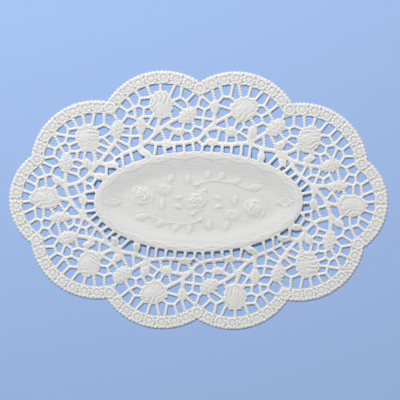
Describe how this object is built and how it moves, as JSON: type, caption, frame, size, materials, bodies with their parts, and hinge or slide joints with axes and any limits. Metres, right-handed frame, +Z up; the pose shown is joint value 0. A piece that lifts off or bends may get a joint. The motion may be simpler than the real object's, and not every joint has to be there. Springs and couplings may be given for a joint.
{
  "type": "lace doily",
  "caption": "Oval embossed paper lace doily with a scalloped pearl border, an openwork net of roses and leaves, and a closed oval centre; it lies flat under cakes or ornaments.",
  "frame": {"origin": "middle of the doily on its underside, where it lies on a table or a platter", "axes": "+X along the oval's long way, +Y across it, +Z up through the sheet to its embossed face"},
  "size_m": [0.2978, 0.2044, 0.0012],
  "materials": {
    "paper": "matt, warm white, embossed"
  },
  "bodies": {
    "root": {"doily": "paper"}
  },
  "joints": []
}
